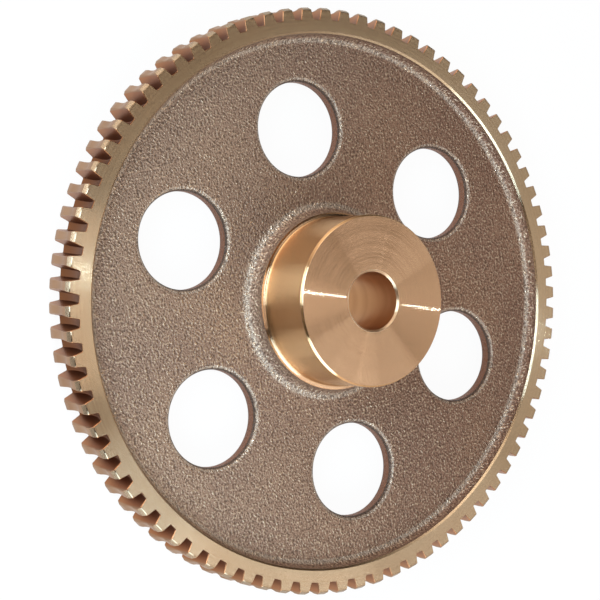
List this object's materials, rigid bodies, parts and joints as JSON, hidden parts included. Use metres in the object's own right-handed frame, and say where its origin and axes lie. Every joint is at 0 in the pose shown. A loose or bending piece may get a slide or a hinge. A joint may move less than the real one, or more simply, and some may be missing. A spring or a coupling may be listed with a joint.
{
  "type": "worm wheel",
  "caption": "Bronze worm wheel: throated toothed rim, recessed web with round lightening holes, and a turned hub on one side with a plain bore.",
  "frame": {"origin": "on the bore axis, in the plane of the machined back faces of the rim and the hub, on which the wheel lies", "axes": "+Z along the bore axis, towards the nose of the hub; +X through the middle of a tooth and of a lightening hole"},
  "size_m": [0.1648, 0.1648, 0.031],
  "materials": {
    "bronze": "cast skin with turned and hobbed faces"
  },
  "bodies": {
    "root": {"worm_wheel": "bronze"}
  },
  "joints": []
}
